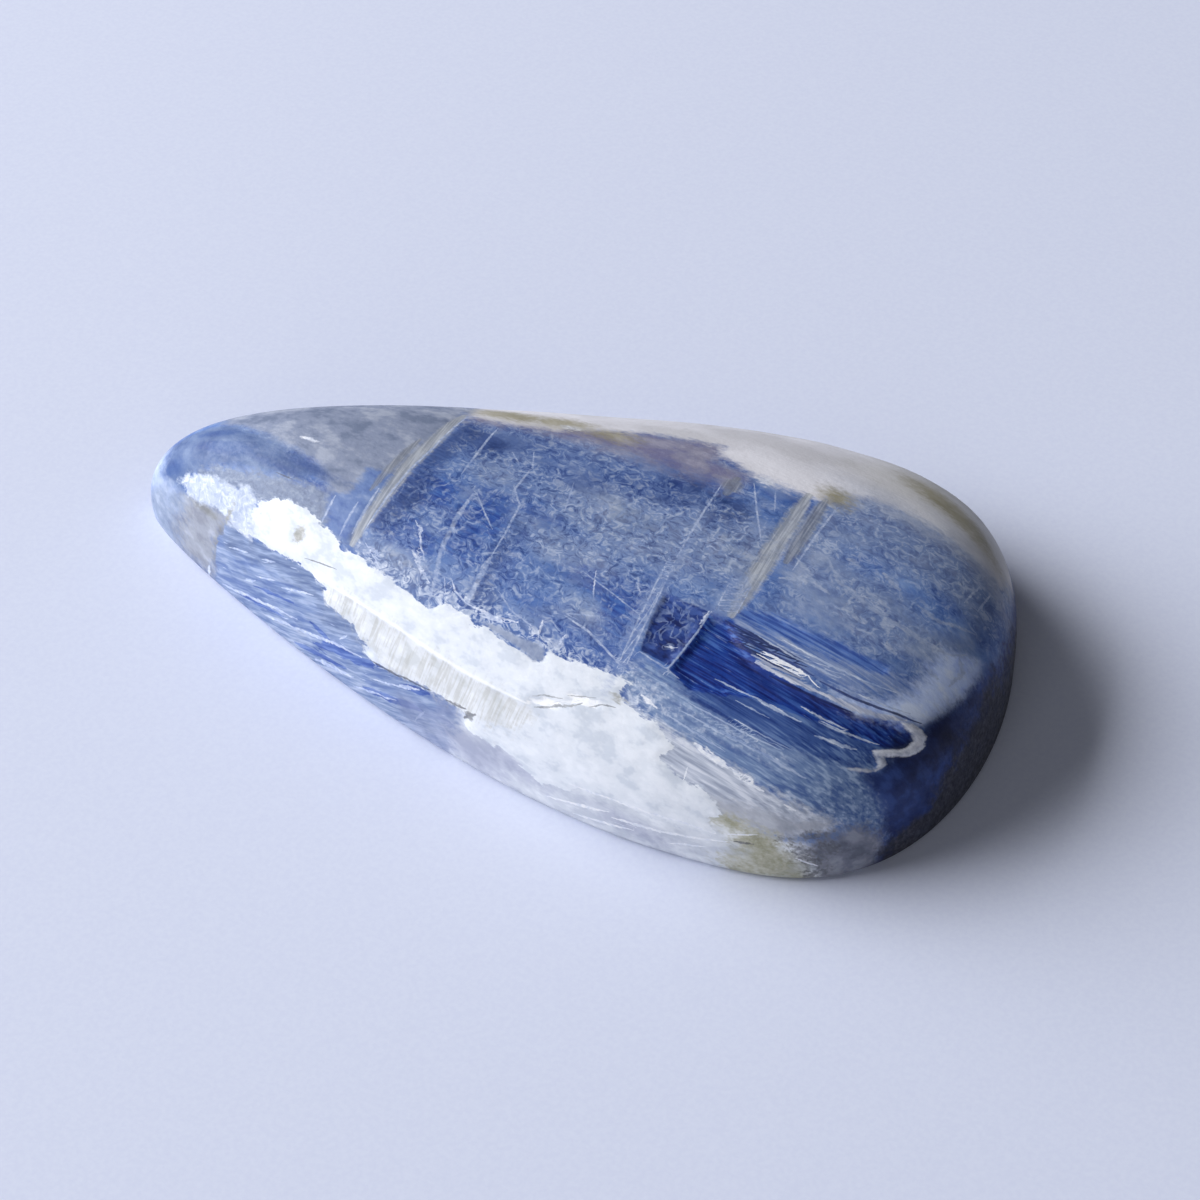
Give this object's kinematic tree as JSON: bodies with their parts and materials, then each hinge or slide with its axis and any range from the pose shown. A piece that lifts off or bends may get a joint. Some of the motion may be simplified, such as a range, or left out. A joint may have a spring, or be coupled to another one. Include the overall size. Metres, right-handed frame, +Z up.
{
  "type": "kyanite pear cabochon",
  "caption": "Pear-shaped polished kyanite stone with a domed top and a flat ground base, for setting in a bezel or lying loose.",
  "frame": {"origin": "middle of the stone's box, on the flat base", "axes": "+X from the pointed tip to the broad butt, +Z up out of the base through the dome"},
  "size_m": [0.04, 0.0224, 0.0078],
  "materials": {
    "kyanite": "high polish with cleavage pits and white and cream zones"
  },
  "bodies": {
    "root": {"kyanite_cabochon": "kyanite"}
  },
  "joints": []
}
